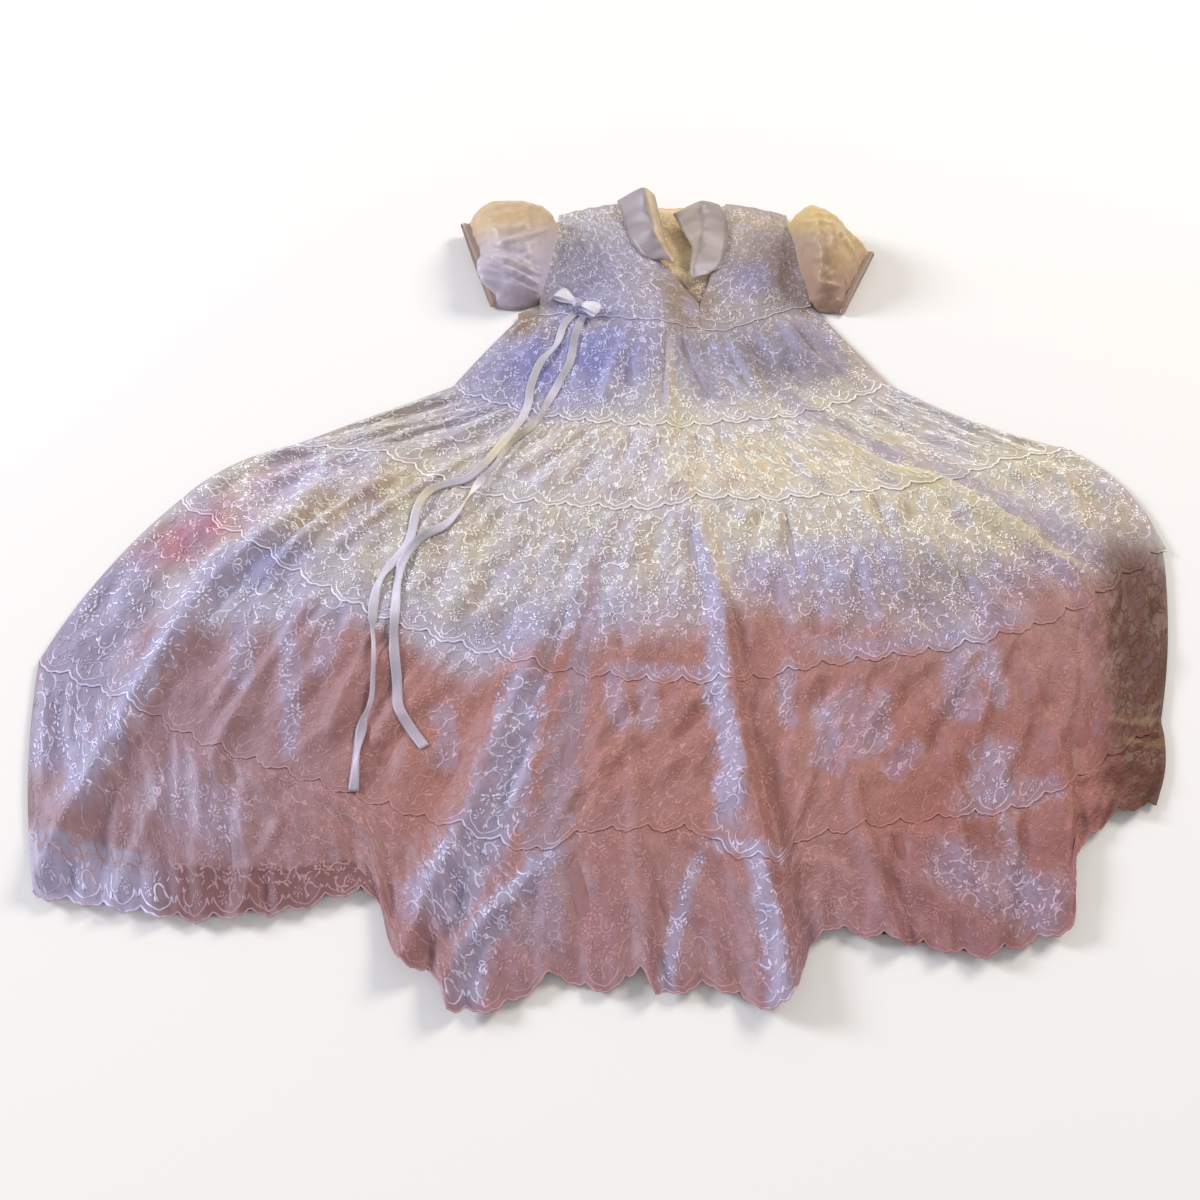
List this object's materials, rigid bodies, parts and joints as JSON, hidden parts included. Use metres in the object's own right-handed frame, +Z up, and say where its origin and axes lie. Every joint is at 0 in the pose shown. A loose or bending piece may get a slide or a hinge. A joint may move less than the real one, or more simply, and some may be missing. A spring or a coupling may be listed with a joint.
{
  "type": "christening gown",
  "caption": "Long baby christening gown with a V neck, turned satin collar bands, puffed sleeves, tiered embroidered skirt and a ribbon bow, laid flat",
  "frame": {"origin": "centre of the gown's footprint, at the floor it lies on", "axes": "+X across the gown towards its sleeve on the viewer's right, +Y up the gown towards the neck, +Z up from the floor"},
  "size_m": [0.742, 0.6632, 0.0425],
  "materials": {
    "embroidered_organza": "sheer cloth with shiny raised embroidery",
    "plain_organza": "sheer, softly shiny",
    "satin": "smooth satin",
    "binding": "matt",
    "lining": "matt"
  },
  "bodies": {
    "root": {"back_tier_1": "embroidered_organza", "back_tier_2": "embroidered_organza", "back_tier_3": "embroidered_organza", "back_tier_4": "embroidered_organza", "back_tier_5": "embroidered_organza", "bodice_back": "embroidered_organza", "bodice_front_left": "embroidered_organza", "bodice_front_right": "embroidered_organza", "bow_knot": "satin", "bow_loop_left": "satin", "bow_loop_right": "satin", "collar_left": "satin", "collar_right": "satin", "cuff_left": "binding", "cuff_right": "binding", "front_tier_1": "embroidered_organza", "front_tier_2": "embroidered_organza", "front_tier_3": "embroidered_organza", "front_tier_4": "embroidered_organza", "front_tier_5": "embroidered_organza", "ribbon_tail_left": "satin", "ribbon_tail_right": "satin", "skirt_lining": "lining", "sleeve_left": "plain_organza", "sleeve_right": "plain_organza"}
  },
  "joints": []
}
